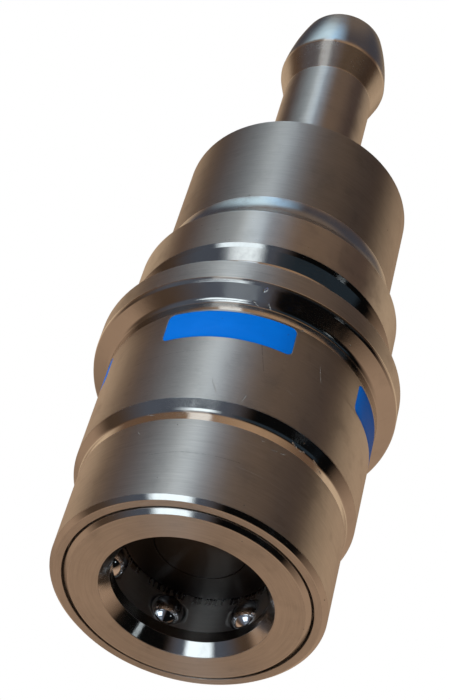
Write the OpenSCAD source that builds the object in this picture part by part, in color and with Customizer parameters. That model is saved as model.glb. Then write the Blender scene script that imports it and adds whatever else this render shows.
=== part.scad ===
// Socket half of a ball-lock, flat-face quick coupling for liquid cooling lines.
// Millimetres. The Z axis is the coupling's own axis: the mouth stands on z = 0 and the hose
// tail points up. The first colour mark faces -Y. Every turned piece is one closed profile,
// revolved, and each real piece is one module. Radii are worked out from the bore outwards and
// heights from the mouth upwards, so that neighbours keep their gaps when a size changes.

/* [Mouth and bore] */
// Radius of the pilot bore that the plug enters
bore_r = 7.1; // [6.8:0.05:7.6]
// Depth of the lead-in chamfer at the mouth
lead_in = 1.15; // [0.8:0.05:1.3]
// Width of the lead-in chamfer on the mouth face
lead_width = 0.85; // [0.6:0.05:1.2]
// Length of the nose flange
nose_len = 2.1; // [1.9:0.05:2.2]

/* [Locking balls] */
// Radius of a locking ball
ball_r = 1.75; // [1.6:0.01:1.8]
// Number of balls, evenly spaced
ball_count = 6; // [4:1:6]
// How far a ball stands out into the bore
ball_lift = 0.85; // [0.7:0.01:0.95]

/* [Locking sleeve] */
// Radius of the sleeve spring's wire
wire_r = 0.55; // [0.4:0.05:0.7]
// Wall of the sleeve's middle part
sleeve_wall = 0.84; // [0.7:0.02:1.2]
// Step down from the middle part to the front part
shoulder_step = 0.7; // [0.5:0.05:0.9]
// Height where the front part ends
front_end = 10.5; // [10.2:0.1:11.2]
// How far the grip flange stands out
flange_step = 1.75; // [1.5:0.05:2.5]
// Height of the front face of the grip flange
flange_z = 25.45; // [24:0.05:28]
// Length of the grip flange
flange_len = 3.12; // [2.5:0.01:4]
// Travel of the sleeve when it is pulled back
sleeve_travel = 4.2; // [4:0.1:4.4]

/* [Colour marks] */
// Angle that one mark covers
mark_angle = 54; // [40:1:60]
// Length of the marks along the axis
mark_len = 3.55; // [3:0.05:4]
// Thickness of a mark
mark_deep = 0.33; // [0.25:0.01:0.4]

/* [Valve] */
// Distance of the flat valve face behind the mouth face
valve_z = 6.35; // [6.2:0.05:6.6]
// Radius of the fixed stem's head
stem_head_r = 4.34; // [4:0.02:4.6]
// Radius of the stem's rod
rod_r = 1.8; // [1.6:0.1:2]

/* [Rear body] */
// Length of the collar ring
collar_len = 5.2; // [4.5:0.1:6]
// How far the collar ring stands out from the rear cylinder
collar_step = 1.5; // [1.2:0.05:1.8]
// Length from the collar ring to the end of the hollow behind it
cove_len = 4.2; // [4:0.1:4.6]
// Length of the rear cylinder
rear_len = 12.92; // [10:0.01:16]

/* [Hose tail] */
// Length of the hose tail
tail_len = 31.58; // [26:0.01:36]
// Radius of the hose tail's shank
shank_r = 5.0; // [4.6:0.05:5.6]
// How far the barb's crest stands out from the shank
barb_step = 1.05; // [0.8:0.05:1.2]
// Radius of the waterway through the hose tail
tail_bore_r = 3.4; // [2.8:0.1:3.6]

/* [Quality] */
// Smoothness of round faces
$fn = 96; // [48:8:160]

/* [Hidden] */
// Running and seating gaps
run_gap = 0.06;
seat_gap = 0.03;
// Ball ring: the pilot bore ends in front of the balls
ball_z = nose_len + ball_r + 0.19;
pilot_end = ball_z - ball_r + 0.01;
guide_r = bore_r + 0.22;
ball_centre_r = bore_r - ball_lift + ball_r;
ball_travel = ball_lift + 0.05;
lip_r = ball_centre_r - 0.52;
tube_r = ball_centre_r + ball_r + 0.01;
// Sleeve: the land holds the balls in, the cone lets them out
land_r = tube_r + run_gap;
cam_slope = ball_travel / sleeve_travel;
recess_end = nose_len + 0.3;
land_end = ball_z + 2 * ball_r - 0.04;
spring_r = tube_r + wire_r + 0.34;
pocket_r = spring_r + wire_r + 0.4;
slide_r = pocket_r + 0.76;
mid_r = slide_r + sleeve_wall;
front_r = mid_r - shoulder_step;
flange_r = mid_r + flange_step;
nose_r = front_r - 1.4;
recess_r = nose_r + 0.23;
sleeve_front = 0.34;
front_edge = 0.42;
shoulder_z = front_end + 1.3;
pocket_end = shoulder_z + 0.7;
flange_cove = 0.6;
face_turn = 60;
face_z = flange_z - 0.67;
mark_z = flange_z - 2.1 - mark_len;
end_flare = 1.35;
sleeve_end = flange_z + flange_len;
// Neck and tail of the two bodies
neck_r = slide_r - run_gap;
tail_z = sleeve_end - 4.57;
tail_end = tail_z + 6;
thread_r = tube_r - 0.16;
chamber_r = tube_r - 1.36;
// Seal groove and chamber in the socket body
plug_wire = 0.85;
plug_groove_z = valve_z + 1.85;
plug_groove_len = 2 * plug_wire + 0.2;
plug_groove_r = guide_r + 2 * plug_wire - 0.02;
chamber_z = valve_z + 6.55;
// Valve slider and stem
slider_r = guide_r - run_gap;
slider_bore_r = stem_head_r + run_gap;
slider_way_r = slider_bore_r + 0.8;
slider_step_z = chamber_z + 0.1;
spring_seat_z = slider_step_z + 2;
guide_tail_r = slider_way_r + 0.75;
valve_wire = 0.42;
valve_spring_r = guide_tail_r + valve_wire + 0.23;
stem_wire = 0.4;
stem_thread_r = rod_r - 0.6;
// Spider and nut
spider_z = tail_end;
spider_len = 2;
spider_r = thread_r - 0.4;
hub_r = rod_r + 1.2;
window_r = valve_spring_r - valve_wire - 0.28;
nut_z = spider_z + spider_len;
nut_len = 2.2;
nut_flats = 5;
// Rear body and hose tail
body_wire = 0.62;
collar_z = sleeve_end + sleeve_travel + 0.33;
collar_r = mid_r;
collar_end = collar_z + collar_len;
rear_r = collar_r - collar_step;
cove_end = collar_end + cove_len;
rear_z = cove_end + rear_len;
water_r = chamber_r - 0.9;
total_len = rear_z + tail_len;
barb_len = 7.6;
barb_z = total_len - barb_len;
barb_r = shank_r + barb_step;
// Blue, steel and rubber colours
steel = [0.62, 0.57, 0.52];
bright = [0.78, 0.78, 0.80];
blue = [0.0, 0.41, 0.80];
rubber = [0.06, 0.06, 0.07];

// ---- helpers -------------------------------------------------------------------------------

// A turned piece: a profile of [radius, height] points, revolved
module turned(profile) {
    rotate_extrude()
        polygon(profile);
}

// An O-ring: wire radius w on a centre line of radius r, at height z
module o_ring(r, z, w) {
    rotate_extrude()
        translate([r, z])
            circle(r = w, $fn = 32);
}

// Points round one section of a coil's wire, at turn angle a
function coil_ring(a, r, z, w, sides) = [
    for (i = [0 : sides - 1])
        let (b = 360 * i / sides)
            [(r + w * cos(b)) * cos(a), (r + w * cos(b)) * sin(a), z + w * sin(b)]
];

// Rise of a coil spring with a dead turn at each end: 0 to 1 over the whole wire
function coil_rise(t, turns, dead) =
    let (
        w = turns * t,
        live = turns - 2 * dead
    )
    w < dead ? 0 : w > turns - dead ? 1 : (w - dead) / live;

// A compression spring from z0 to z1: mean radius r, wire radius w; each closed end lies flat
// and rises by half a wire over its dead turn, so that neighbouring turns stay apart
module coil_spring(r, z0, z1, w, turns, steps = 22, sides = 10) {
    n = round(turns * steps);
    closed = 2.06 * w;
    span = z1 - z0 - 2 * w;
    rings = [
        for (k = [0 : n])
            let (
                turn = k / steps,
                lead = closed * min(turn, 1) + closed * max(turn - turns + 1, 0),
                z = z0 + w + lead + (span - 2 * closed) * coil_rise(k / n, turns, 1)
            )
            each coil_ring(360 * turn, r, z, w, sides)
    ];
    walls = [
        for (k = [0 : n - 1])
            for (i = [0 : sides - 1])
                let (
                    a = k * sides + i,
                    b = k * sides + (i + 1) % sides
                )
                each [[a, b + sides, b], [a, a + sides, b + sides]]
    ];
    first = [for (i = [0 : sides - 1]) i];
    last = [for (i = [0 : sides - 1]) n * sides + sides - 1 - i];
    polyhedron(points = rings, faces = concat(walls, [first], [last]));
}

// ---- body ----------------------------------------------------------------------------------

// One ball's seat: a drilled pocket from outside that leaves a lip at the bore
module ball_seat() {
    rotate([0, 90, 0]) {
        translate([0, 0, lip_r])
            cylinder(r = ball_r + 0.05, h = 4);
        cylinder(r = ball_r - 0.07, h = lip_r + 1);
    }
}

// Socket body: nose flange with the mouth, thin tube with the ball seats, threaded tail
module socket_body() {
    color(steel)
        difference() {
            turned([
                [bore_r + lead_width, 0],
                [nose_r - 0.4, 0],
                [nose_r, 0.4],
                [nose_r, nose_len],
                [tube_r, nose_len],
                [tube_r, tail_z - 0.3],
                [thread_r, tail_z - 0.3],
                [thread_r, tail_end],
                [chamber_r, tail_end],
                [chamber_r, chamber_z + 0.6],
                [guide_r + 0.6, chamber_z],
                [guide_r, chamber_z],
                [guide_r, plug_groove_z + plug_groove_len],
                [plug_groove_r, plug_groove_z + plug_groove_len],
                [plug_groove_r, plug_groove_z],
                [guide_r, plug_groove_z],
                [guide_r, pilot_end],
                [bore_r, pilot_end],
                [bore_r, lead_in]
            ]);
            for (i = [0 : ball_count - 1])
                rotate([0, 0, ball_angle(i)])
                    translate([0, 0, ball_z])
                        ball_seat();
        }
}

// ---- balls ---------------------------------------------------------------------------------

function ball_angle(i) = 360 * i / ball_count - 6;

module locking_ball(i) {
    color(bright)
        rotate([0, 0, ball_angle(i)])
            translate([ball_centre_r, 0, ball_z])
                sphere(r = ball_r, $fn = 48);
}

module locking_ball_1() { locking_ball(0); }
module locking_ball_2() { locking_ball(1); }
module locking_ball_3() { locking_ball(2); }
module locking_ball_4() { locking_ball(3); }
module locking_ball_5() { locking_ball(4); }
module locking_ball_6() { locking_ball(5); }

// ---- sleeve --------------------------------------------------------------------------------

// Half section of the sleeve, without the hollow arcs
module sleeve_section() {
    cam_r = land_r + cam_slope * (ball_z - recess_end);
    hollow_r = 0.9;
    cove_reach = flange_cove * tan(face_turn / 2);
    face_r = flange_r - 0.2;
    difference() {
        polygon([
            [recess_r, sleeve_front],
            [front_r - front_edge, sleeve_front],
            [front_r, sleeve_front + front_edge],
            [front_r, front_end],
            [front_r + 0.225 * shoulder_step, front_end + 0.51],
            [mid_r - 0.1 * shoulder_step, shoulder_z - 0.1],
            [mid_r, shoulder_z + 0.05],
            [mid_r, face_z - cove_reach],
            [mid_r + cove_reach * sin(face_turn), face_z + cove_reach * cos(face_turn)],
            [face_r, face_z + (face_r - mid_r) / tan(face_turn)],
            [flange_r - 0.06, flange_z + 0.4],
            [flange_r, flange_z + 0.65],
            [flange_r, sleeve_end - 0.2],
            [flange_r - 0.2, sleeve_end],
            [slide_r + 0.62, sleeve_end],
            [slide_r, sleeve_end - end_flare],
            [slide_r, pocket_end + 0.4],
            [pocket_r, pocket_end],
            [pocket_r, land_end],
            [land_r, land_end],
            [land_r, ball_z],
            [cam_r, recess_end],
            [recess_r, recess_end]
        ]);
        // Hollow under the shoulder
        translate([front_r + hollow_r, front_end])
            circle(r = hollow_r);
        // Hollow in front of the grip flange
        translate([mid_r + flange_cove, face_z - cove_reach])
            circle(r = flange_cove);
    }
}

// A mark's outline, carried outwards through the sleeve's wall on the -Y side
module mark_block(grow) {
    half = mid_r * sin(mark_angle / 2) + grow;
    low = mark_z - grow;
    high = mark_z + mark_len + grow;
    corner = 0.6;
    rotate([90, 0, 0])
        linear_extrude(height = mid_r + 2) {
            translate([-half + corner, low])
                square([2 * (half - corner), high - low]);
            translate([-half, low + corner])
                square([2 * half, high - low - 2 * corner]);
            for (x = [-half + corner, half - corner])
                for (z = [low + corner, high - corner])
                    translate([x, z])
                        circle(r = corner);
        }
}

module locking_sleeve() {
    color(steel)
        difference() {
            rotate_extrude()
                sleeve_section();
            for (k = [0 : 3])
                rotate([0, 0, 90 * k])
                    difference() {
                        mark_block(0.02);
                        translate([0, 0, mark_z - 2])
                            cylinder(r = mid_r - mark_deep - 0.02, h = mark_len + 4);
                    }
        }
}

// One enamel mark, let in flush with the sleeve's middle part
module colour_mark(k) {
    color(blue)
        rotate([0, 0, 90 * k])
            intersection() {
                mark_block(0);
                turned([
                    [mid_r - mark_deep, mark_z - 1],
                    [mid_r, mark_z - 1],
                    [mid_r, mark_z + mark_len + 1],
                    [mid_r - mark_deep, mark_z + mark_len + 1]
                ]);
            }
}

module colour_mark_1() { colour_mark(0); }
module colour_mark_2() { colour_mark(1); }
module colour_mark_3() { colour_mark(2); }
module colour_mark_4() { colour_mark(3); }

// ---- springs -------------------------------------------------------------------------------

module sleeve_spring() {
    color(bright)
        coil_spring(spring_r, land_end, tail_z, wire_r, 6.5, 30);
}

module valve_spring() {
    color(bright)
        coil_spring(valve_spring_r, spring_seat_z, spider_z, valve_wire, 7.5, 24);
}

// ---- valve ---------------------------------------------------------------------------------

// Sliding valve: a tube whose front end closes the ring round the stem's head
module valve_slider() {
    guide_end = spring_seat_z + 3;
    color(steel)
        turned([
            [slider_bore_r + 0.1, valve_z],
            [slider_r - 0.1, valve_z],
            [slider_r, valve_z + 0.1],
            [slider_r, slider_step_z],
            [chamber_r - 0.1, slider_step_z + 0.7],
            [chamber_r - 0.1, spring_seat_z],
            [guide_tail_r, spring_seat_z],
            [guide_tail_r, guide_end],
            [slider_way_r, guide_end],
            [slider_way_r, valve_z + 4.6],
            [slider_bore_r, valve_z + 3.2],
            [slider_bore_r, valve_z + 0.1]
        ]);
}

// Fixed stem: flat head with its seal groove, rod, and the thread through the spider
module valve_stem() {
    groove_z = valve_z + 0.9;
    groove_len = 2 * stem_wire + 0.25;
    groove_r = slider_bore_r - 2 * stem_wire - 0.04;
    color(steel)
        turned([
            [0, valve_z],
            [stem_head_r - 0.1, valve_z],
            [stem_head_r, valve_z + 0.1],
            [stem_head_r, groove_z],
            [groove_r, groove_z],
            [groove_r, groove_z + groove_len],
            [stem_head_r, groove_z + groove_len],
            [stem_head_r, valve_z + 2.6],
            [rod_r, valve_z + 5.4],
            [rod_r, spider_z],
            [stem_thread_r, spider_z],
            [stem_thread_r, nut_z + nut_len + 0.5],
            [0, nut_z + nut_len + 0.5]
        ]);
}

module stem_seal() {
    color(rubber)
        o_ring(slider_bore_r - 0.02 - stem_wire, valve_z + 1.025 + stem_wire, stem_wire);
}

module plug_seal() {
    color(rubber)
        o_ring(guide_r - 0.01 + plug_wire, plug_groove_z + plug_groove_len / 2, plug_wire);
}

// Spider: carries the stem's end, with three windows for the coolant
module stem_spider() {
    color(steel)
        difference() {
            translate([0, 0, spider_z])
                cylinder(r = spider_r, h = spider_len);
            translate([0, 0, spider_z - 1])
                cylinder(r = stem_thread_r + seat_gap, h = spider_len + 2);
            for (k = [0 : 2])
                rotate([0, 0, 120 * k + 14])
                    rotate_extrude(angle = 92)
                        translate([hub_r, spider_z - 1])
                            square([window_r - hub_r, spider_len + 2]);
        }
}

module stem_nut() {
    color(steel)
        difference() {
            translate([0, 0, nut_z])
                cylinder(r = nut_flats / 2 / cos(30), h = nut_len, $fn = 6);
            translate([0, 0, nut_z - 1])
                cylinder(r = stem_thread_r + seat_gap, h = nut_len + 2);
        }
}

// ---- rear body -----------------------------------------------------------------------------

// Half section of the rear body, without its hollow arcs and the barb's curve
module rear_section() {
    cove = 7;
    cove_start = collar_end + 0.3;
    groove_z = tail_z + 1;
    groove_len = 2 * body_wire + 0.66;
    groove_deep = 2 * body_wire + 0.01;
    tip = 0.3;
    tip_r = barb_r - 1.63;
    taper_r = 37.4;
    taper_drop = 2.69;
    seat_r = thread_r + seat_gap;
    difference() {
        polygon([
            [seat_r + 0.3, tail_z],
            [neck_r - 0.3, tail_z],
            [neck_r, tail_z + 0.3],
            [neck_r, collar_z - end_flare],
            [collar_r - 0.33, collar_z],
            [collar_r, collar_z + 0.33],
            [collar_r, collar_end],
            [rear_r + cove - sqrt(pow(cove, 2) - pow(cove_end - cove_start, 2)), cove_start],
            [rear_r, cove_end],
            [rear_r, rear_z - 0.3],
            [rear_r - 0.3, rear_z],
            [shank_r, rear_z],
            [shank_r, barb_z - 3.9],
            [barb_r - 0.12, barb_z - 0.5],
            [barb_r, barb_z],
            [barb_r, total_len - 0.4],
            [barb_r - 0.4, total_len],
            [tail_bore_r + 0.25, total_len],
            [tail_bore_r, total_len - 0.25],
            [tail_bore_r, nut_z + 15],
            [water_r, nut_z + 9],
            [water_r, nut_z],
            [seat_r, nut_z],
            [seat_r, groove_z + groove_len],
            [seat_r + groove_deep, groove_z + groove_len],
            [seat_r + groove_deep, groove_z],
            [seat_r, groove_z],
            [seat_r, tail_z + 0.3]
        ]);
        translate([rear_r + cove, cove_end])
            circle(r = cove);
        // The barb tapers to its tip along a large arc
        difference() {
            translate([0, barb_z])
                square([2 * barb_r, 2 * barb_len]);
            translate([barb_r - sqrt(pow(taper_r, 2) - pow(taper_drop, 2)), barb_z - taper_drop])
                circle(r = taper_r, $fn = 360);
        }
        // Small round at the tip
        difference() {
            translate([tip_r, total_len - tip])
                square([barb_r, 2 * tip]);
            translate([tip_r, total_len - tip])
                circle(r = tip);
        }
    }
}

module rear_body() {
    color(steel)
        rotate_extrude()
            rear_section();
}

module body_seal() {
    color(rubber)
        o_ring(thread_r + seat_gap + body_wire - 0.01, tail_z + 1.33 + body_wire, body_wire);
}

// ---- nodes ---------------------------------------------------------------------------------

socket_body();
locking_sleeve();
colour_mark_1();
colour_mark_2();
colour_mark_3();
colour_mark_4();
locking_ball_1();
locking_ball_2();
locking_ball_3();
locking_ball_4();
locking_ball_5();
locking_ball_6();
sleeve_spring();
valve_slider();
valve_stem();
stem_seal();
plug_seal();
valve_spring();
stem_spider();
stem_nut();
rear_body();
body_seal();
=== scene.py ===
# %% [markdown]
# # A flat-face quick coupling for cooling lines
# The coupling is nearly all turned metal: bars of stainless steel cut on a lathe. That decides how
# it is modelled here. A turned piece is an outline carried once round the axis, so each piece is
# given by its corners, and numpy works out the whole surface at once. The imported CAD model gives
# the places and the bodies that slide; everything here lies on its axis.

# %% Load the frame
import math
import bmesh
import bpy
import numpy as np
from mathutils import Matrix, Vector


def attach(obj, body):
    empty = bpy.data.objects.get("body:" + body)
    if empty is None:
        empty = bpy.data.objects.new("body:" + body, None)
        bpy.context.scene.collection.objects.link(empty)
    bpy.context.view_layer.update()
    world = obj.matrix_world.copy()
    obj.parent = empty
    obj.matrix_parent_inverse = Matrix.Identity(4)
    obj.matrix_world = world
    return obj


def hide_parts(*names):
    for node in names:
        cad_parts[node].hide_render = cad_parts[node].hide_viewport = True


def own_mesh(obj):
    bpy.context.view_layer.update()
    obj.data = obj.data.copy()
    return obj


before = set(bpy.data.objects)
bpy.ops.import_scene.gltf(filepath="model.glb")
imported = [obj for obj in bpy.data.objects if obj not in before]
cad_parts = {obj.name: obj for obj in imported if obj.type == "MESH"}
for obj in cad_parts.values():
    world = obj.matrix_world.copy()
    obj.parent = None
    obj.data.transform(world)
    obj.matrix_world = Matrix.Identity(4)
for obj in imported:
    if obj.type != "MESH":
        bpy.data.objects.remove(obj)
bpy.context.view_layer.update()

# %% [markdown]
# ## Sizes
# The sizes are those of the lathe drawing, in millimetres, with z = 0 on the mouth face. They are
# named once and used for outlines, patterns and finishes alike.

# %% Name the driving sizes
MM = 0.001
SEGMENTS = 288

bore_r = 7.1
nose_r = 11.1
tube_r = 9.76
ball_r = 1.75
ball_z = 4.04
ball_count = 6
ball_first = -6.0
ball_centre_r = 8.0
land_r = 9.82
front_r = 12.5
mid_r = 13.2
flange_r = 14.95
flange_z = 25.45
sleeve_end = 28.57
slide_r = 12.36
mark_z = 19.8
mark_len = 3.55
mark_angle = 54.0
valve_z = 6.35
stem_head_r = 4.34
neck_r = 12.3
collar_z = 33.1
collar_r = 13.2
collar_end = 38.3
rear_r = 11.7
rear_z = 55.42
shank_r = 5.0
barb_r = 6.05
barb_z = 79.4
total_len = 87.0
tail_bore_r = 3.4

# %% [markdown]
# ## From corners to a turned surface
# A lathe drawing is a list of corners, some of them rounded. `outline` replaces each rounded
# corner by an arc that is tangent to both of its straight stretches. It also sets one extra point
# close to each end of the arc, so that smooth shading turns only inside the arc and flat stretches
# stay flat. A modifier could round the edges instead, but here each radius is a size of its own.

# %% Round the corners of an outline
def arc_between(before, corner, after, radius):
    """Points of a fillet: the arc leaves the first stretch at radius * tan(half the turn) before
    the corner and turns evenly until it meets the second stretch."""
    into = (corner - before) / np.linalg.norm(corner - before)
    out = (after - corner) / np.linalg.norm(after - corner)
    turn = math.acos(max(-1.0, min(1.0, float(into @ out))))
    reach = radius * math.tan(turn / 2)
    start = corner - into * reach
    side = out - into * float(into @ out)
    side = side / np.linalg.norm(side)
    steps = max(3, int(math.degrees(turn) / 9) + 1)
    a = np.linspace(0.0, turn, steps + 1)[:, None]
    arc = start + radius * (np.sin(a) * into + (1 - np.cos(a)) * side)
    guard = 0.02
    room_in = np.linalg.norm(corner - before) - reach > 3 * guard
    room_out = np.linalg.norm(after - corner) - reach > 3 * guard
    first = [start - into * guard] if room_in else []
    last = [corner + out * (reach + guard)] if room_out else []
    return np.vstack([*first, arc, *last]) if first or last else arc


def outline(corners, closed=True):
    """Points (radius, height), and the polish of each, from corners (radius, height, rounding,
    polish). Polish belongs to the stretch that leaves its corner and to the arc on the corner."""
    count = len(corners)
    places = np.array([c[:2] for c in corners], float)
    points, polish = [], []
    for i, (r, z, rounding, shine) in enumerate(corners):
        inner = closed or 0 < i < count - 1
        if rounding and inner:
            arc = arc_between(places[i - 1], places[i], places[(i + 1) % count], rounding)
            points.extend(arc)
            polish.extend([max(shine, 0.0)] * len(arc))
        else:
            points.append(places[i])
            polish.append(shine)
    sharp_points, sharp_polish = [points[0]], [polish[0]]
    for before, after, old, new in zip(points, points[1:], polish, polish[1:]):
        step = np.linalg.norm(after - before)
        if old != new and step > 0.06:
            sharp_points.append(after + (before - after) * (0.02 / step))
            sharp_polish.append(old)
        sharp_points.append(after)
        sharp_polish.append(new)
    return np.array(sharp_points), np.array(sharp_polish)


rounded_square = [(1, 0, 0.1, 0), (2, 0, 0.1, 0), (2, 1, 0.1, 0), (1, 1, 0.1, 0)]
print("outline points of a rounded square:", len(outline(rounded_square)[0]))

# %% [markdown]
# ## Grids into meshes
# Every piece below is one or more grids of points. A grid's neighbours share its edge points, and
# merging by distance closes the seams. Two numbers travel with each point: how far it lies along
# the outline, which the tool marks follow, and how polished it is there.

# %% Turn grids into one mesh
class Grids:
    """Collects grids of points and turns them into one closed mesh."""

    def __init__(self):
        self.points, self.faces, self.along, self.polish = [], [], [], []
        self.count = 0

    def add(self, points, along, polish, wrap_rows=False, wrap_columns=False, flip=False):
        """points has the shape (rows, columns, 3) in millimetres. The face at row i and column j
        joins it to row i + 1 and column j + 1; wrapping joins the last to the first."""
        rows, columns = points.shape[:2]
        i = np.arange(rows if wrap_rows else rows - 1)
        j = np.arange(columns if wrap_columns else columns - 1)
        i, j = [g.ravel() for g in np.meshgrid(i, j, indexing="ij")]
        a = i * columns + j
        b = i * columns + (j + 1) % columns
        c = ((i + 1) % rows) * columns + (j + 1) % columns
        d = ((i + 1) % rows) * columns + j
        quad = np.stack([a, d, c, b] if flip else [a, b, c, d], axis=1)
        self.faces.append(quad + self.count)
        self.points.append(points.reshape(-1, 3))
        self.along.append(np.broadcast_to(along, (rows, columns)).ravel())
        self.polish.append(np.broadcast_to(polish, (rows, columns)).ravel())
        self.count += rows * columns

    def piece(self, name, body, nodes, finish, slot):
        """Makes the object: places in metres, both attributes, seams merged, faces outwards."""
        mesh = bpy.data.meshes.new(name)
        points = np.concatenate(self.points) * MM
        faces = np.concatenate(self.faces)
        mesh.from_pydata(points.tolist(), [], faces.tolist())
        for label, values in (("along", self.along), ("polish", self.polish)):
            layer = mesh.attributes.new(label, "FLOAT", "POINT")
            layer.data.foreach_set("value", np.concatenate(values).astype(np.float32))
        close = bmesh.new()
        close.from_mesh(mesh)
        bmesh.ops.remove_doubles(close, verts=close.verts, dist=1e-7)
        bmesh.ops.dissolve_degenerate(close, edges=close.edges, dist=1e-8)
        bmesh.ops.recalc_face_normals(close, faces=close.faces)
        close.to_mesh(mesh)
        close.free()
        mesh.shade_smooth()
        mesh.materials.append(finish)
        piece = bpy.data.objects.new(name, mesh)
        bpy.context.scene.collection.objects.link(piece)
        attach(piece, body)
        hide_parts(*nodes)
        print(name, len(mesh.polygons), "faces")
        return piece


def angles(first=0.0, last=360.0, count=SEGMENTS):
    """Angles in radians from first to last degrees, the last one included."""
    return np.radians(np.linspace(first, last, count + 1))


def revolve(grids, points, polish, first=0.0, closed=True):
    """Carries an outline round the axis: x = r cos a, y = r sin a, z = z."""
    if closed:
        points = np.vstack([points, points[:1]])
        polish = np.append(polish, polish[0])
    a = angles(first, first + 360.0)
    r, z = points[:, :1], points[:, 1:]
    surface = np.stack([r * np.cos(a), r * np.sin(a), z + 0 * a], axis=-1)
    steps = np.linalg.norm(np.diff(points, axis=0), axis=1)
    along = np.concatenate([[0.0], np.cumsum(steps)])
    grids.add(surface, along[:, None], polish[:, None])


# %% [markdown]
# ## Openings in a turned wall
# Drilled ball seats and the let-in colour marks break a turned wall at even steps round the axis.
# Each step is one sector of the wall. Its grid starts on the sector's four edges and closes in on
# the opening's rim, so the rim is as smooth as its outline, with no boolean operation to leave
# slivers behind.

# %% Make a sector of wall with an opening
def square_path(across, up):
    """Points once round a square from -1 to 1, with so many steps across and up."""
    a, b = np.linspace(-1, 1, across + 1), np.linspace(-1, 1, up + 1)
    return np.vstack([
        np.stack([a[:-1], -1 + 0 * a[:-1]], 1),
        np.stack([1 + 0 * b[:-1], b[:-1]], 1),
        np.stack([a[:0:-1], 1 + 0 * a[:0:-1]], 1),
        np.stack([-1 + 0 * b[:0:-1], b[:0:-1]], 1),
    ])


def rounded_path(square, half_across, half_up, corner):
    """A rounded rectangle: the square path scaled, with points past a corner's centre pulled
    onto the circle round that centre."""
    p = square * [half_across, half_up]
    centre = np.sign(p) * [half_across - corner, half_up - corner]
    past = (np.abs(p) > np.abs(centre)).all(axis=1)
    away = p - centre
    length = np.linalg.norm(away, axis=1, keepdims=True)
    return np.where(past[:, None], centre + away / np.maximum(length, 1e-9) * corner, p)


def on_wall(path, radius, middle, height):
    """Points on a cylinder from (angle in radians, height) pairs, turned to the middle angle."""
    a = path[:, 0] + math.radians(middle)
    return np.stack([radius * np.cos(a), radius * np.sin(a), path[:, 1] + height], axis=-1)


def in_bore(path, depth, middle, height):
    """Points of a flat path across the opening, carried out along the middle angle to a depth,
    which is one radius for all or one for each point."""
    m = math.radians(middle)
    out, side = np.array([math.cos(m), math.sin(m)]), np.array([-math.sin(m), math.cos(m)])
    xy = np.multiply.outer(np.broadcast_to(depth, len(path)), out) + np.outer(path[:, 0], side)
    return np.column_stack([xy, path[:, 1] + height])


def wall_rows(edge, rim, radius, middle, height, rows=7):
    """Rows from the sector's edges to the rim, both as (angle, height) paths on one cylinder:
    each row is the two paths mixed in even shares."""
    shares = np.linspace(0, 1, rows)
    return [on_wall(edge * (1 - s) + rim * s, radius, middle, height) for s in shares]


print("points round a ball sector:", len(square_path(48, 12)))

# %% [markdown]
# ## Shader maths as expressions
# A finish is a graph of nodes. Written as arithmetic it reads like the idea behind it, so `Wire`
# wraps one socket and gives it the usual operators, and `Finish` makes every other node.

# %% A socket with arithmetic, and a finish under construction
class Wire:
    """One output socket of a node tree; arithmetic on it adds Math nodes."""

    def __init__(self, finish, socket):
        self.finish, self.socket = finish, socket

    def maths(self, operation, *values):
        inputs = dict(enumerate(values))
        return self.finish.node("ShaderNodeMath", {"operation": operation}, inputs)

    def __add__(self, other):
        return self.maths("ADD", self, other)

    def __sub__(self, other):
        return self.maths("SUBTRACT", self, other)

    def __rsub__(self, other):
        return self.maths("SUBTRACT", other, self)

    def __mul__(self, other):
        return self.maths("MULTIPLY", self, other)

    def __truediv__(self, other):
        return self.maths("DIVIDE", self, other)

    def __pow__(self, other):
        return self.maths("POWER", self, other)

    def __gt__(self, other):
        return self.maths("GREATER_THAN", self, other)

    __radd__ = __add__
    __rmul__ = __mul__

    def highest(self, other):
        return self.maths("MAXIMUM", self, other)

    def lowest(self, other):
        return self.maths("MINIMUM", self, other)

    def rise(self, low, high):
        """0 below low, 1 above high and a smooth step between; low may be above high."""
        settings = {"interpolation_type": "SMOOTHSTEP", "clamp": True}
        return self.finish.node("ShaderNodeMapRange", settings, {0: self, 1: low, 2: high})

    def band(self, low, high, soft):
        """1 between low and high, with soft edges outside them."""
        return self.rise(low - soft, low) * self.rise(high + soft, high)


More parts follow.
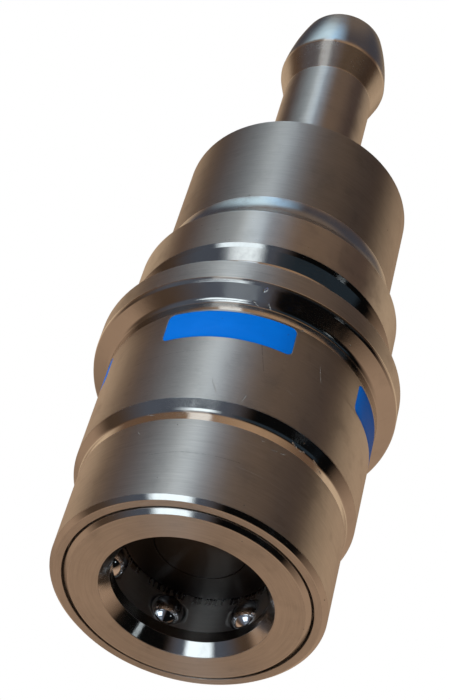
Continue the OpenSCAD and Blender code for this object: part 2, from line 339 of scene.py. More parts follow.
class Finish:
    """A material, or a world, whose nodes come from one method."""

    def __init__(self, owner):
        owner.use_nodes = True
        self.owner, self.tree = owner, owner.node_tree
        self.tree.nodes.clear()

    def node(self, kind, settings=None, values=None, output=0):
        """Makes a node, sets its settings first, then its sockets, and returns one output."""
        node = self.tree.nodes.new(kind)
        for name, value in (settings or {}).items():
            setattr(node, name, value)
        for name, value in (values or {}).items():
            if isinstance(value, Wire):
                self.tree.links.new(value.socket, node.inputs[name])
            else:
                node.inputs[name].default_value = value
        return Wire(self, node.outputs[output]) if len(node.outputs) else None

    def place(self):
        """Object coordinates in millimetres: the vector, then x, y and z."""
        metres = self.node("ShaderNodeTexCoord", output="Object")
        vector = self.scaled(metres, 1 / MM)
        parts = [self.node("ShaderNodeSeparateXYZ", None, {0: vector}, i) for i in range(3)]
        return vector, *parts

    def scaled(self, vector, factor):
        return self.node("ShaderNodeVectorMath", {"operation": "SCALE"}, {0: vector, "Scale": factor})

    def vector(self, x, y, z):
        return self.node("ShaderNodeCombineXYZ", None, {0: x, 1: y, 2: z})

    def measure(self, label):
        """A number that the mesh carries at each point."""
        return self.node("ShaderNodeAttribute", {"attribute_name": label}, output="Fac")

    def noise(self, vector, scale, detail=2.0, roughness=0.5):
        values = {"Vector": vector, "Scale": scale, "Detail": detail, "Roughness": roughness}
        return self.node("ShaderNodeTexNoise", None, values, "Fac")

    def vectors(self, operation, first, second, output=0):
        return self.node("ShaderNodeVectorMath", {"operation": operation}, {0: first, 1: second}, output)

    def stroke(self, spot, start, end, width):
        """1 on a straight stroke between two places given as (angle in degrees, height), fading
        to 0 half a width beside it. The nearest place on the stroke is start + t (end - start),
        where t is the dot product of both ways from start over the stroke's squared length."""
        a = np.array([math.radians(start[0]) * mid_r, start[1], 0.0])
        way = np.array([math.radians(end[0]) * mid_r, end[1], 0.0]) - a
        near = self.vectors("SUBTRACT", spot, tuple(a))
        share = self.vectors("DOT_PRODUCT", near, tuple(way / (way @ way)), "Value")
        share = share.lowest(1.0).highest(0.0)
        foot = self.node("ShaderNodeVectorMath", {"operation": "SCALE"}, {0: tuple(way), "Scale": share})
        gap = self.vectors("DISTANCE", near, foot, "Value")
        return gap.rise(width * 0.5, width * 0.2)

    def specks(self, vector, scale, size, share):
        """Round dots: near a Voronoi cell's point, in those cells whose random colour is high."""
        settings = {"voronoi_dimensions": "3D"}
        values = {"Vector": vector, "Scale": scale}
        gap = self.node("ShaderNodeTexVoronoi", settings, values, "Distance")
        colour = self.node("ShaderNodeTexVoronoi", settings, values, "Color")
        chosen = self.node("ShaderNodeSeparateColor", None, {0: colour}, "Red") > 1 - share
        return chosen * gap.rise(size * scale, size * scale * 0.5)

    def mix(self, share, first, second):
        """Colours mixed by share; 0 gives the first."""
        settings = {"data_type": "RGBA"}
        values = {0: share, 6: first, 7: second}
        return self.node("ShaderNodeMix", settings, values, 2)

    def bump(self, height, distance, strength=1.0, under=None, invert=False):
        """Turns a height of 0 to 1 into a tilt of the surface; distance is in metres."""
        values = {"Height": height, "Distance": distance, "Strength": strength}
        if under is not None:
            values["Normal"] = under
        return self.node("ShaderNodeBump", {"invert": invert}, values)

    def metal(self, **values):
        """The one shader of each piece, with its constants on its own sockets."""
        names = {key.replace("_", " "): value for key, value in values.items()}
        shader = self.node("ShaderNodeBsdfPrincipled", None, names)
        self.node("ShaderNodeOutputMaterial", None, {"Surface": shader})
        return self.owner


def finish(name):
    return Finish(bpy.data.materials.new(name))


def shade(colour, factor):
    """A colour made lighter or darker by a factor, with its alpha."""
    return (*[min(1.0, c * factor) for c in colour[:3]], 1.0)


print("finish helpers ready")

# %% [markdown]
# ## Turned stainless steel
# A lathe leaves fine rings round the axis, and the satin parts were brushed the same way round
# afterwards. Each brush stroke is long round the axis and very thin along the outline, so the
# noise behind it is stretched in just that way. Its depth tilts the surface, and its value also
# shifts the tone a little. The polished edges, hollows and neck keep only a trace of it. The
# shader's own anisotropy spreads reflections across the strokes, as real brushed steel does.

# %% Steel finishes
SLEEVE_NICKS = [
    ((300, 8.8), (302, 8.9), 0.16), ((304, 8.9), (306, 9.0), 0.14),
    ((295, 9.2), (296, 9.3), 0.16), ((308, 10.8), (310, 10.6), 0.20),
    ((312, 10.5), (314, 10.7), 0.16), ((320, 10.7), (322, 10.6), 0.24),
    ((323, 10.3), (325, 10.2), 0.22), ((326, 9.7), (327, 9.4), 0.16),
    ((277, 24.9), (279, 24.6), 0.16), ((283, 24.9), (284, 24.6), 0.18),
    ((280, 25.5), (281, 25.6), 0.18), ((283, 12.2), (284, 13.0), 0.12),
    ((298, 23.4), (299, 23.6), 0.16), ((246, 10.6), (249, 10.4), 0.14),
    ((244, 8.6), (245, 8.3), 0.14), ((310, 20.6), (312, 18.9), 0.07),
]
SLEEVE_RUBS = [
    ((252, 5.4), (265, 5.7), 0.07), ((265, 5.7), (289, 5.8), 0.08),
    ((284, 20.4), (288, 16.7), 0.10), ((232, 17.6), (262, 17.9), 0.05),
]
SLEEVE_LINES = [
    ((288, 5.3), (310, 5.2), 0.09), ((310, 5.2), (324, 5.5), 0.07),
    ((299, 15.6), (306, 14.9), 0.06), ((270, 14.1), (273, 12.6), 0.06),
]
STEEL = (0.60, 0.578, 0.555)


def lathe_marks(f, along, stroke, fineness, detail=2.0):
    """Noise on a vector whose first two parts go round the axis slowly, and whose third is the
    distance along the outline times a large factor."""
    vector, x, y, z = f.place()
    return f.noise(f.vector(x * stroke, y * stroke, along * fineness), 1.0, detail, 0.6)


def most(masks):
    """The highest of several masks, or 0 if there are none."""
    top = 0.0
    for mask in masks:
        top = mask.highest(top)
    return top


def turned_steel(
    name, tint=STEEL, satin=0.43, shine=0.10, stroke=0.45, fineness=7.0, spread=0.85,
    nicks=(), rubs=(), lines=(),
):
    f = finish(name)
    vector, x, y, z = f.place()
    along, polish = f.measure("along"), f.measure("polish")
    dull = 1 - polish
    strokes = lathe_marks(f, along, stroke, fineness)
    rings = lathe_marks(f, along, 0.03, fineness * 0.45)
    cloud = f.noise(vector, 0.22, 3.0)
    fine_cloud = f.noise(vector, 1.1, 3.0, 0.65)
    smear = f.noise(vector, 0.35, 4.0, 0.7).rise(0.50, 0.72)
    turn = f.node("ShaderNodeMath", {"operation": "ARCTAN2"}, {0: y, 1: x})
    turn = turn + (turn * -1 > 0) * (2 * math.pi)
    spot = f.vector(turn * mid_r, z, 0.0)
    dents = most([f.stroke(spot, *nick) for nick in nicks])
    worn = most([f.stroke(spot, *rub) for rub in rubs])
    cuts = most([f.stroke(spot, *line) for line in lines])
    ragged = f.noise(vector, 5.0, 3.0, 0.7).rise(0.36, 0.56)
    pits = f.specks(vector, 0.55, 0.085, 0.34)
    dust = f.specks(vector, 1.1, 0.05, 0.22)
    dents, worn, cuts = dents * ragged, worn * ragged, cuts * ragged
    tone = 0.94 + (strokes - 0.5) * 0.34 * dull + (rings - 0.5) * 0.10 * dull
    tone = tone + (cloud - 0.5) * 0.16 - smear * 0.07 - worn * 0.35 - pits * 0.45
    tone = tone + cuts * 0.3 + dust * 0.25
    colour = f.mix(tone.lowest(1.0).highest(0.0), shade(tint, 0.0), shade(tint, 1.06))
    colour = f.mix(dents * 0.5, colour, (0.85, 0.85, 0.84, 1))
    rough = satin * dull + shine * polish + (strokes - 0.5) * 0.10 * dull
    rough = rough + (fine_cloud - 0.5) * 0.10 + smear * 0.05 + dents * 0.12 + worn * 0.1
    height = (strokes * 0.7 + rings * 0.3) * (dull * 0.92 + 0.08)
    tilt = f.bump(height, 0.0016 * MM)
    tilt = f.bump(fine_cloud, 0.004 * MM, 1.0, tilt)
    tilt = f.bump((dents + pits + cuts * 0.4).lowest(1.0), 0.05 * MM, 0.8, tilt, True)
    return f.metal(
        Base_Color=colour, Metallic=1.0, Roughness=rough.highest(0.05), Normal=tilt,
        Anisotropic=spread, Anisotropic_Rotation=0.25,
    )


sleeve_finish = turned_steel("sleeve_steel", nicks=SLEEVE_NICKS, rubs=SLEEVE_RUBS, lines=SLEEVE_LINES)
body_finish = turned_steel("body_steel", satin=0.42, stroke=0.3)
rear_finish = turned_steel("rear_steel", tint=(0.51, 0.49, 0.47), satin=0.46)
# The valve's tint is nearly black: painted shade for its place deep in the bore, not its steel's colour.
valve_painted_shade_finish = turned_steel("valve_steel", tint=(0.05, 0.046, 0.044), satin=0.34, stroke=0.02, fineness=9.0)
print("steel finishes made")

# %% [markdown]
# ## Balls, wire, enamel and rubber
# The balls are hardened and mirror-bright, with the faint orange peel of tumbling. Spring wire is
# drawn, and its marks are a fine even noise. The colour marks are enamel: a smooth, even blue
# under a low gloss. O-ring rubber is nearly black and soft-edged.

# %% Other finishes
def ball_steel():
    f = finish("ball_steel")
    vector, x, y, z = f.place()
    haze = f.noise(vector, 1.3, 2.0)
    peel = f.noise(vector, 9.0, 2.0)
    colour = f.mix(haze, (0.72, 0.73, 0.76, 1), (0.86, 0.86, 0.88, 1))
    return f.metal(
        Base_Color=colour, Metallic=1.0, Roughness=0.05 + haze * 0.06,
        Normal=f.bump(peel, 0.0006 * MM),
    )


def spring_wire():
    f = finish("spring_steel")
    vector, x, y, z = f.place()
    draw = f.noise(vector, 5.0, 3.0, 0.7)
    colour = f.mix(draw, (0.42, 0.41, 0.40, 1), (0.66, 0.65, 0.63, 1))
    return f.metal(
        Base_Color=colour, Metallic=1.0, Roughness=0.24 + draw * 0.18,
        Normal=f.bump(draw, 0.004 * MM),
    )


def enamel():
    f = finish("mark_enamel")
    vector, x, y, z = f.place()
    cloud = f.noise(vector, 0.5, 2.0)
    grain = f.noise(vector, 7.0, 3.0)
    speck = f.noise(vector, 3.1, 1.0).rise(0.74, 0.78)
    blue = f.mix(cloud, (0.0, 0.138, 0.60, 1), (0.0, 0.165, 0.70, 1))
    colour = f.mix(speck * 0.5, blue, (0.02, 0.07, 0.30, 1))
    return f.metal(
        Base_Color=colour, Roughness=0.42 + grain * 0.12, Normal=f.bump(grain, 0.003 * MM),
        Specular_IOR_Level=0.06,
    )


def rubber():
    f = finish("seal_rubber")
    vector, x, y, z = f.place()
    grain = f.noise(vector, 6.0, 3.0)
    colour = f.mix(grain, (0.012, 0.012, 0.013, 1), (0.03, 0.03, 0.032, 1))
    return f.metal(Base_Color=colour, Roughness=0.5 + grain * 0.2, Normal=f.bump(grain, 0.01 * MM))


def cut_steel():
    """For small parts that stay as the CAD model gives them: rings by radius and height."""
    f = finish("cut_steel")
    vector, x, y, z = f.place()
    radius = (x * x + y * y) ** 0.5
    rings = f.noise(f.vector(radius * 7.0, z * 7.0, 0.0), 1.0, 2.0)
    colour = f.mix(rings, shade(STEEL, 0.82), shade(STEEL, 1.05))
    tilt = f.bump(rings, 0.003 * MM)
    return f.metal(Base_Color=colour, Metallic=1.0, Roughness=0.34 + rings * 0.1, Normal=tilt)


ball_finish, wire_finish, mark_finish = ball_steel(), spring_wire(), enamel()
seal_finish, cut_finish = rubber(), cut_steel()
for node in ("stem_seal", "plug_seal", "body_seal"):
    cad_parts[node].data.materials.clear()
    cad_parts[node].data.materials.append(seal_finish)
for node in ("stem_spider", "stem_nut"):
    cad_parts[node].data.materials.clear()
    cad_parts[node].data.materials.append(cut_finish)
print("small parts finished")

# %% [markdown]
# ## Socket body
# The body is a thin tube behind a thick nose. Its outline is closed, but the ring of ball seats
# breaks it twice, outside and in the bore. So two open outlines are revolved, and six sectors
# carry the wall across: from the tube's outside, down the drilled pocket to the lip that keeps
# the ball in, and out on to the bore.

# %% Socket body with its ball seats
guide_r = bore_r + 0.22
pilot_end = 2.3
nose_len = 2.1
chamber_r = 8.4
chamber_z = 12.9
groove_z, groove_end, groove_r = 8.2, 10.1, 9.0
lip_r = ball_centre_r - 0.52
seat_r, lip_hole_r = ball_r + 0.05, ball_r - 0.07
seat_step = 360.0 / ball_count
outer_half, inner_half = 1.86, 1.72


def ball_seat(grids, middle):
    """One sector: rows close in on the pocket outside, go down its wall, step in to the lip's
    smaller hole, and open out again on the bore."""
    square = square_path(int(SEGMENTS / ball_count), 12)
    edge = square * [math.radians(seat_step / 2), 1.0]
    way = np.arctan2(square[:, 1], square[:, 0] * 2.6)
    ring = np.stack([np.cos(way), np.sin(way)], axis=1)
    pocket, hole = ring * seat_r, ring * lip_hole_r
    outer_rim = np.stack([np.arcsin(pocket[:, 0] / tube_r), pocket[:, 1]], axis=1)
    inner_rim = np.stack([np.arcsin(hole[:, 0] / guide_r), hole[:, 1]], axis=1)
    rows = wall_rows(edge * [1, outer_half], outer_rim, tube_r, middle, ball_z)
    rows.append(in_bore(pocket, lip_r + 0.03, middle, ball_z))
    rows.append(in_bore(pocket * 0.995, lip_r, middle, ball_z))
    rows.append(in_bore(hole * 1.01, lip_r, middle, ball_z))
    rows.append(in_bore(hole, lip_r - 0.02, middle, ball_z))
    rows += wall_rows(edge * [1, inner_half], inner_rim, guide_r, middle, ball_z)[::-1]
    points = np.array(rows)
    grids.add(points, points[..., 2], 0.25, wrap_columns=True)


def socket_body():
    tail = outline([
        (tube_r, ball_z + outer_half, 0, 0.2),
        (tube_r, 23.7, 0.1, 0.2),
        (9.6, 23.7, 0, 0.2),
        (9.6, 30.0, 0.15, 0.2),
        (chamber_r, 30.0, 0.15, 0.2),
        (chamber_r, chamber_z + 0.6, 0.05, 0.2),
        (guide_r + 0.6, chamber_z, 0.05, 0.2),
        (guide_r, chamber_z, 0.05, 0.8),
        (guide_r, groove_end, 0.05, 0.8),
        (groove_r, groove_end, 0.1, 0.2),
        (groove_r, groove_z, 0.1, 0.2),
        (guide_r, groove_z, 0.05, 0.8),
        (guide_r, ball_z + inner_half, 0, 0.8),
    ], closed=False)
    nose = outline([
        (guide_r, ball_z - inner_half, 0, 0.8),
        (guide_r, pilot_end, 0, 0.8),
        (bore_r, pilot_end, 0.03, 0.8),
        (bore_r, 1.15, 0.06, 0.95),
        (7.95, 0.0, 0.06, 0.0),
        (nose_r - 0.4, 0.0, 0.06, 0.95),
        (nose_r, 0.4, 0.06, 0.3),
        (nose_r, nose_len, 0.08, 0.2),
        (tube_r, nose_len, 0.0, 0.2),
        (tube_r, ball_z - outer_half, 0, 0.2),
    ], closed=False)
    grids = Grids()
    first = ball_first - seat_step / 2
    revolve(grids, *tail, first=first, closed=False)
    revolve(grids, *nose, first=first, closed=False)
    for k in range(ball_count):
        ball_seat(grids, ball_first + k * seat_step)
    return grids.piece("socket_body_turned", "body", ["socket_body"], body_finish, "body_steel")


socket_body()

# %% [markdown]
# ## Locking sleeve
# The sleeve is one turned shell. Outside it steps up twice: a polished shoulder with a hollow at
# its foot, and a deep polished hollow in front of the grip flange. Inside it has the release cone,
# the land that holds the balls in, and the spring's pocket. Four let-in places take the marks.

# %% Sleeve with its let-in places
front_end = 10.5
shoulder_z = 11.8
foot = 0.9
cove = 0.6
face_turn = math.radians(60)
face_z = flange_z - 0.67
face_r = flange_r - 0.2
mark_deep = 0.33
mark_mid = mark_z + mark_len / 2
mark_half = mark_len / 2 + 0.2
sleeve_travel, valve_travel = 4.2, 6.0
cam_rise = 0.9
cam_slope = cam_rise / sleeve_travel


def mark_rim(grow):
    """The mark's outline as (angle, height) pairs, and the sector's edge, from one square path."""
    square = square_path(int(SEGMENTS / 4), 14)
    across = mid_r * math.radians(mark_angle / 2) + grow
    rim = rounded_path(square, across, mark_len / 2 + grow, 0.6) / [mid_r, 1.0]
    return square * [math.radians(45), mark_half], rim


def mark_place(grids, middle):
    """One sector: the wall closes in on the let-in place, drops to its floor, and the floor's rows
    shrink to its middle."""
    edge, rim = mark_rim(0.02)
    rows = wall_rows(edge, mark_rim(0.05)[1], mid_r, middle, mark_mid, rows=5)
    rows.append(on_wall(rim, mid_r, middle, mark_mid))
    rows.append(on_wall(rim, mid_r - 0.03, middle, mark_mid))
    floor = mid_r - mark_deep - 0.02
    rows += [on_wall(rim * s, floor, middle, mark_mid) for s in (1.0, 0.8, 0.6, 0.4, 0.2, 0.0)]
    points = np.array(rows)
    grids.add(points, points[..., 2], 0.0, wrap_columns=True)


def hollow_foot(low_r, high_r, high_z, start_z, radius):
    """Height of the corner under a cone whose hollow starts at start_z: the cone's angle is found
    by a few rounds of halving, so that radius, start and upper corner all hold."""
    low, high = 0.1, 1.4
    for _ in range(40):
        angle = (low + high) / 2
        corner = start_z + radius * math.tan(angle / 2)
        if (high_r - low_r) / (high_z - corner) > math.tan(angle):
            low = angle
        else:
            high = angle
    return corner


def locking_sleeve():
    foot_z = hollow_foot(front_r, mid_r, shoulder_z, front_end, foot)
    cam_r = land_r + cam_slope * (ball_z - 2.4)
    shell = outline([
        (mid_r, mark_mid + mark_half, 0, 0.0),
        (mid_r, mark_mid + mark_half + 0.03, 0, 1.0),
        (mid_r, face_z, cove, 1.0),
        (face_r, face_z + (face_r - mid_r) / math.tan(face_turn), 0.05, 1.0),
        (flange_r - 0.06, flange_z + 0.4, 0.12, 1.0),
        (flange_r, flange_z + 0.65, 0.2, 1.0),
        (flange_r, flange_z + 0.72, 0.0, 0.0),
        (flange_r, sleeve_end, 0.16, 0.1),
        (slide_r + 0.62, sleeve_end, 0.1, 0.1),
        (slide_r, sleeve_end - 1.35, 0.1, 0.1),
        (slide_r, 12.9, 0.05, 0.1),
        (11.6, 12.5, 0.05, 0.1),
        (11.6, 7.5, 0.1, 0.1),
        (land_r, 7.5, 0.05, 0.6),
        (land_r, ball_z, 0.05, 0.6),
        (cam_r, 2.4, 0.05, 0.3),
        (11.33, 2.4, 0.1, 0.3),
        (11.33, 0.34, 0.05, 0.0),
        (front_r - 0.42, 0.34, 0.06, 1.0),
        (front_r, 0.76, 0.06, 0.0),
        (front_r, front_end - 0.75, 0.0, 1.0),
        (front_r, foot_z, foot, 1.0),
        (mid_r, shoulder_z, 0.12, 0.0),
        (mid_r, mark_mid - mark_half, 0, 0.0),
    ], closed=False)
    grids = Grids()
    revolve(grids, *shell, first=-45.0, closed=False)
    for k in range(4):
        mark_place(grids, 90.0 * k)
    return grids.piece("locking_sleeve_turned", "sleeve", ["locking_sleeve"], sleeve_finish, "sleeve_steel")


locking_sleeve()


def colour_mark(number):
    """A curved plate: its face grows from the middle to the rim, its edge is eased over, its wall
    drops to the back and the back shrinks to the middle again. The first faces -Y."""
    edge, rim = mark_rim(0.0)
    middle = -90.0 + 90.0 * (number - 1)
    across = mid_r * math.radians(mark_angle / 2) - 0.03
    square = square_path(int(SEGMENTS / 4), 14)
    eased = rounded_path(square, across, mark_len / 2 - 0.03, 0.57) / [mid_r, 1.0]
    shares = (0.0, 0.25, 0.5, 0.75, 1.0)
    rows = [on_wall(eased * s, mid_r, middle, mark_mid) for s in shares]
    rows.append(on_wall((eased + rim) / 2, mid_r - 0.008, middle, mark_mid))
    rows.append(on_wall(rim, mid_r - 0.03, middle, mark_mid))
    rows += [on_wall(rim * s, mid_r - mark_deep, middle, mark_mid) for s in shares[::-1]]
    points = np.array(rows)
    grids = Grids()
    grids.add(points, points[..., 2], 0.0, wrap_columns=True)
    name = "colour_mark_%d" % number
    return grids.piece(name + "_enamel", "sleeve", [name], mark_finish, "mark_enamel")


for number in range(1, 5):
    colour_mark(number)

# %% [markdown]
# ## Locking balls
# Each ball is a sphere from two angles. It rides on a body of its own, because the sleeve's cone
# lets it move out.

# %% Balls
def locking_ball(number):
    """A sphere: latitude from pole to pole, longitude round; its centre lies on the ball ring."""
    up, round_ = np.meshgrid(np.linspace(-90, 90, 37), np.linspace(0, 360, 65), indexing="ij")
    up, round_ = np.radians(up), np.radians(round_)
    unit = np.stack([np.cos(up) * np.cos(round_), np.cos(up) * np.sin(round_), np.sin(up)], axis=-1)
    a = math.radians(ball_first + seat_step * (number - 1))
    centre = np.array([ball_centre_r * math.cos(a), ball_centre_r * math.sin(a), ball_z])
    grids = Grids()
    grids.add(centre + unit * ball_r, 0.0, 1.0)
    name = "locking_ball_%d" % number
    return grids.piece(name + "_round", "ball_%d" % number, [name], ball_finish, "ball_steel")


for number in range(1, ball_count + 1):
    locking_ball(number)

# %% [markdown]
# ## Valve
# The flat face is two pieces: the ring is the front of the sliding tube, the disc is the head of
# the fixed stem, with a hairline between them. Both were faced on the lathe, so their marks are
# full rings. Their steel is painted nearly black: painted shade of the deep bore, not its colour.

# %% Slider and stem
def valve_slider():
    bore = stem_head_r + 0.06
    outer = guide_r - 0.06
    shell = outline([
        (bore, valve_z, 0.05, 0.1),
        (outer, valve_z, 0.08, 0.4),
        (outer, 13.0, 0.0, 0.3),
        (chamber_r - 0.1, 13.7, 0.05, 0.3),
        (chamber_r - 0.1, 15.0, 0.05, 0.3),
        (5.95, 15.0, 0.1, 0.3),
        (5.95, 18.0, 0.1, 0.3),
        (5.2, 18.0, 0.1, 0.3),
        (5.2, valve_z + 4.6, 0.1, 0.3),
        (bore, valve_z + 3.2, 0.1, 0.3),
    ])
    grids = Grids()
    revolve(grids, *shell)
    return grids.piece("valve_slider_turned", "slider", ["valve_slider"], valve_painted_shade_finish, "valve_steel")


def valve_stem():
    groove_low = valve_z + 0.9
    groove_high = groove_low + 1.05
    shell = outline([
        (0.0, valve_z, 0, 0.1),
        (stem_head_r, valve_z, 0.05, 0.4),
        (stem_head_r, groove_low, 0.03, 0.4),
        (3.56, groove_low, 0.05, 0.3),
        (3.56, groove_high, 0.05, 0.3),
        (stem_head_r, groove_high, 0.03, 0.4),
        (stem_head_r, valve_z + 2.6, 0.2, 0.3),
        (1.8, valve_z + 5.4, 0.8, 0.3),
        (1.8, 30.0, 0.05, 0.3),
        (1.2, 30.0, 0.0, 0.3),
        (1.2, 34.7, 0.15, 0.3),
        (0.0, 34.7, 0, 0.3),
    ], closed=False)
    grids = Grids()
    revolve(grids, *shell, closed=False)
    return grids.piece("valve_stem_turned", "body", ["valve_stem"], valve_painted_shade_finish, "valve_steel")


valve_slider()
valve_stem()

# %% [markdown]
# ## Springs
# A compression spring is a helix whose first and last turns close up and are ground flat; here
# they close up, and the ends are not ground. Its wire is a small circle carried along.

# %% Springs
def coil(name, radius, low, high, wire, turns):
    """Angle grows evenly; height rises by a little more than one wire in each end turn and evenly
    between them; the circle of the wire stands across, and each end is closed at its circle's middle."""
    t = np.linspace(0.0, turns, int(turns * 40) + 1)
    closed = 2.06 * wire
    lead = closed * (np.minimum(t, 1) + np.maximum(t - turns + 1, 0))
    live = np.clip((t - 1) / (turns - 2), 0, 1)
    height = low + wire + lead + (high - low - 2 * wire - 2 * closed) * live
    around = np.radians(np.linspace(0, 360, 17))
    r = radius + wire * np.cos(around)
    a = 2 * math.pi * t[:, None]
    z = height[:, None] + wire * np.sin(around)
    tube = np.stack([r * np.cos(a), r * np.sin(a), z + 0 * a], axis=-1)
    ends = [np.repeat(tube[k : k + 1].mean(axis=1, keepdims=True), 17, axis=1) for k in (0, -1)]
    grids = Grids()
    grids.add(np.concatenate([ends[0], tube, ends[1]]), 0.0, 0.5)
    piece = grids.piece(name + "_coil", "body", [name], wire_finish, "spring_steel")
    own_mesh(piece)
    return piece


coil("sleeve_spring", 10.65, 7.5, 24.0, 0.55, 6.5)
coil("valve_spring", 6.6, 15.0, 30.0, 0.42, 7.5)

# %% [markdown]
# ## Rear body
# One bar gives the neck that the sleeve slides on, the collar ring, a polished hollow, the satin
# rear cylinder and the hose tail. The barb's back is a short cone, and its front tapers along a
# large arc to the tip, so that the hose slips on and holds.

# %% Rear body and hose tail
def barb_taper(count=14):
    """Radius falls by a straight share and a square share of the way along, which is the start of
    a large arc whose centre lies a little behind the crest."""
    way = np.linspace(0, 1, count)
    return [(barb_r - 0.548 * w - 0.80 * w * w, barb_z + 7.3 * w, 0, 0.8) for w in way]


def rear_body():
    hollow, start, end = 7.0, collar_end + 0.3, 42.5
    turn = math.asin((end - start) / hollow)
    start_r = rear_r + hollow * (1 - math.cos(turn))
    shell = outline([
        (9.93, 24.0, 0, 0.3),
        (neck_r - 0.3, 24.0, 0, 0.8),
        (neck_r, 24.3, 0.05, 1.0),
        (neck_r, collar_z - 1.35, 0.1, 1.0),
        (collar_r - 0.33, collar_z, 0.04, 1.0),
        (collar_r, collar_z + 0.33, 0.05, 0.45),
        (collar_r, collar_end, 0.06, 0.9),
        (start_r, start, 0.0, 1.0),
        (rear_r, end - hollow * math.tan(turn / 2), hollow, 0.85),
        (rear_r, end + 0.03, 0.0, 0.0),
        (rear_r, rear_z, 0.25, 0.3),
        (rear_r - 0.5, rear_z, 0.0, 0.0),
        (shank_r, rear_z, 0.12, 0.35),
        (shank_r, barb_z - 3.9, 0.6, 0.6),
        (barb_r - 0.05, barb_z - 0.35, 0.3, 0.8),
        *barb_taper(),
        (4.5, total_len, 0.0, 0.3),
        (tail_bore_r + 0.25, total_len, 0.05, 0.3),
        (tail_bore_r, total_len - 0.25, 0.05, 0.2),
        (tail_bore_r, 47.0, 0.3, 0.2),
        (7.5, 41.0, 0.5, 0.2),
        (7.5, 32.0, 0.1, 0.2),
        (9.63, 32.0, 0.05, 0.2),
        (9.63, 26.9, 0.03, 0.2),
        (10.88, 26.9, 0.1, 0.2),
        (10.88, 25.0, 0.1, 0.2),
        (9.63, 25.0, 0.03, 0.2),
        (9.63, 24.3, 0.0, 0.2),
    ])
    grids = Grids()
    revolve(grids, *shell)
    return grids.piece("rear_body_turned", "body", ["rear_body"], rear_finish, "rear_steel")


rear_body()

# %% [markdown]
# ## The room that steel reflects
# Bare steel shows the room more than itself. A large round tent stands for that room, and its
# colour is worked out from the direction alone: azimuth goes round the part's axis, elevation up
# along it. A few plain wall colours fade into each other in broad soft bands, a tall window with
# panes stands at one side, and a skylight is set high up. The tent is seen by reflections only.

# %% Tent
STEEL_SHARE = 0.58


def tone(red, green, blue):
    """The light a wall must give off for steel to look this bright, from 0 to 1, unclouded."""
    return (*(c / STEEL_SHARE for c in (red, green, blue)), 1.0)


LIT_WALL, SHADED_WALL, SIDE_WALL = tone(0.45, 0.33, 0.22), tone(0.11, 0.065, 0.04), tone(0.29, 0.185, 0.11)
LOW_WALL, LOW_SHADE, DARK = tone(0.27, 0.18, 0.12), tone(0.055, 0.035, 0.023), tone(0.002, 0.002, 0.002)
COOL_FLOOR, BLUE_SHADE = tone(0.06, 0.07, 0.09), tone(0.02, 0.03, 0.04)
HIGH_WALL, CEILING, ZENITH = tone(0.19, 0.145, 0.10), tone(0.045, 0.045, 0.055), tone(0.13, 0.10, 0.08)
SKY, DEEP_SKY = tone(0.6, 0.82, 0.95), tone(0.42, 0.68, 0.95)


def walls_above(f, azimuth):
    """A lit wall over half the turn, duller in its middle, and a softer one at the side."""
    lit = azimuth.rise(0, 19) * azimuth.rise(184, 158) * (1 - azimuth.band(80, 104, 32) * 0.62)
    side = azimuth.rise(200, 300) * azimuth.rise(350, 305)
    return f.mix(lit, f.mix(side, SHADED_WALL, SIDE_WALL), LIT_WALL)


def walls_below(f, azimuth):
    """The lit wall's foot, a cool stretch of floor beyond it, and darkness on the last side."""
    shade_share = azimuth.rise(0, 12) * azimuth.rise(298, 272)
    cool = azimuth.rise(190, 222) * azimuth.rise(294, 270)
    lit = azimuth.rise(0, 36) * azimuth.rise(186, 168) * (1 - azimuth.band(128, 134, 22) * 0.32)
    return f.mix(lit, f.mix(cool, f.mix(shade_share, DARK, LOW_SHADE), COOL_FLOOR), LOW_WALL)


def walls_high(f, azimuth):
    """A grey ceiling with one warm patch and a wide skylight that is bluer at its far side."""
    warm = azimuth.rise(35, 85) * azimuth.rise(142, 112)
    sky = f.mix(azimuth.rise(236, 262), SKY, DEEP_SKY)
    return f.mix(azimuth.rise(168, 236) * azimuth.rise(296, 250), f.mix(warm, CEILING, HIGH_WALL), sky)


def tent_cloth():
    f = finish("tent")
    vector, x, y, z = f.place()
    flat = (x * x + y * y) ** 0.5
    azimuth = f.node("ShaderNodeMath", {"operation": "ARCTAN2"}, {0: y, 1: x}) * (180 / math.pi)
    azimuth = azimuth + (azimuth * -1 > 0) * 360
    up = f.node("ShaderNodeMath", {"operation": "ARCTAN2"}, {0: z, 1: flat}) * (180 / math.pi)
    walls = f.mix(up.rise(22, 38), walls_below(f, azimuth), walls_above(f, azimuth))
    dim = azimuth.band(284, 345, 8) * up.band(-12, 12, 3) * 0.7
    walls = f.mix(dim, walls, BLUE_SHADE)
    walls = f.mix(up.rise(50, 57), walls, walls_high(f, azimuth))
    walls = f.mix(up.rise(69, 79), walls, ZENITH)
    middle = azimuth.rise(234, 256) * azimuth.rise(273, 261) * up.band(-16, 8, 2)
    low = azimuth.band(235, 261, 9) * (up.band(-50, -29, 4) + up.band(-72, -60, 3) * 0.1)
    upper = azimuth.band(245, 260, 4) * (up.band(38, 53, 3) + up.band(8, 38, 4) * 0.35) * 0.8
    spot = azimuth.band(330, 335, 2) * up.band(-31, -28, 2) * 0.5
    window = (middle + low + upper + spot).lowest(1.0)
    glass = f.mix(up.rise(-4, 30), (1.6, 1.85, 2.0, 1), (1.40, 1.34, 1.24, 1))
    glass = f.mix(up.rise(46, 53), glass, (1.2, 1.8, 2.4, 1))
    colour = f.mix(window, walls, glass)
    light = f.node("ShaderNodeEmission", None, {"Color": colour})
    f.node("ShaderNodeOutputMaterial", None, {"Surface": light})
    f.owner.cycles.emission_sampling = "NONE"
    return f.owner


def tent():
    bpy.ops.mesh.primitive_uv_sphere_add(segments=64, ring_count=32, radius=3.0)
    cloth = bpy.context.object
    cloth.name = "tent"
    cloth.data.materials.append(tent_cloth())
    cloth.visible_camera = False
    cloth.visible_diffuse = False
    cloth.visible_shadow = False
    cloth.visible_transmission = False
    cloth.visible_volume_scatter = False
    return cloth


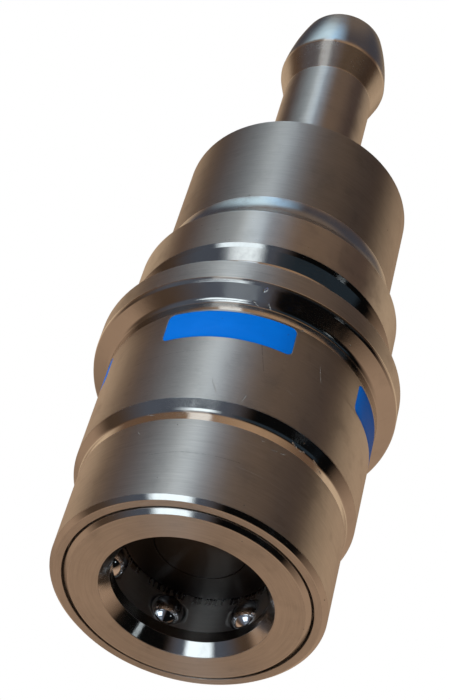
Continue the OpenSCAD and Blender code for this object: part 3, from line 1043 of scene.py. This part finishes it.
# %% [markdown]
# ## Floor, lamp and camera
# The floor is plain, pale and one-sided, so a camera below it looks straight through. Its light
# fades into the white background with distance, while the part's shadow stays. The world is white
# where the camera or a reflection meets it, and gives the even light that paint and rubber need.

# %% Set the stage
def floor_paint():
    f = finish("floor")
    vector, x, y, z = f.place()
    far = ((x * x + y * y) ** 0.5).rise(150, 900)
    matt = f.node("ShaderNodeBsdfDiffuse", None, {"Color": (0.8, 0.8, 0.8, 1)})
    glow = f.node("ShaderNodeEmission", None, {"Color": (1, 1, 1, 1)})
    clear = f.node("ShaderNodeBsdfTransparent", None)
    lit = f.node("ShaderNodeMixShader", None, {0: far, 1: matt, 2: glow})
    back = f.node("ShaderNodeNewGeometry", output="Backfacing")
    shown = f.node("ShaderNodeMixShader", None, {0: back, 1: lit, 2: clear})
    f.node("ShaderNodeOutputMaterial", None, {"Surface": shown})
    return f.owner


def floor():
    bpy.ops.mesh.primitive_plane_add(size=4.0)
    plane = bpy.context.object
    plane.name = "floor"
    plane.location = (0, 0, -0.0005)
    plane.data.materials.append(floor_paint())
    plane.visible_diffuse = False
    plane.visible_glossy = False
    plane.visible_transmission = False
    plane.visible_shadow = False
    return plane


def lamp(name, azimuth, elevation, away, wide, power):
    """A round soft lamp that shines on the part's middle from a direction given in degrees."""
    light = bpy.data.lights.new(name, "AREA")
    light.shape, light.size, light.energy = "DISK", wide, power
    holder = bpy.data.objects.new(name, light)
    bpy.context.scene.collection.objects.link(holder)
    a, e = math.radians(azimuth), math.radians(elevation)
    out = Vector((math.cos(e) * math.cos(a), math.cos(e) * math.sin(a), math.sin(e)))
    holder.location = out * away + Vector((0, 0, 0.04))
    holder.rotation_euler = (-out).to_track_quat("-Z", "Y").to_euler()
    holder.visible_glossy = False
    return holder


def white_world():
    world = bpy.data.worlds.new("white")
    bpy.context.scene.world = world
    f = Finish(world)
    rays = ("Is Camera Ray", "Is Glossy Ray", "Is Transmission Ray")
    path = [f.node("ShaderNodeLightPath", None, None, name) for name in rays]
    seen_straight = (path[0] + path[1] + path[2]).lowest(1.0)
    strength = 0.30 + seen_straight * 0.70
    sky = f.node("ShaderNodeBackground", None, {"Color": (1, 1, 1, 1), "Strength": strength})
    f.node("ShaderNodeOutputWorld", None, {"Surface": sky})


def set_camera():
    eye = Vector((31.07, -132.87, -109.89)) * MM
    look = Vector((-0.17265, 0.67260, 0.71960))
    up = Vector((-0.10782, -0.73908, 0.66494))
    lens = bpy.data.cameras.new("camera")
    lens.lens, lens.sensor_width, lens.sensor_fit = 102.33, 36.0, "AUTO"
    lens.clip_start = 0.01
    camera = bpy.data.objects.new("camera", lens)
    bpy.context.scene.collection.objects.link(camera)
    side = look.cross(up).normalized()
    turn = Matrix((side, side.cross(look), -look)).transposed()
    camera.matrix_world = Matrix.Translation(eye) @ turn.to_4x4()
    bpy.context.scene.camera = camera


window_light = lamp("window_light", 252, 15, 1.0, 0.5, 7.6)
top_light = lamp("top_light", 235, 62, 0.9, 0.5, 2.0)
tent()
floor()
white_world()
set_camera()
bpy.context.scene.view_settings.view_transform = "Standard"
print("stage set")
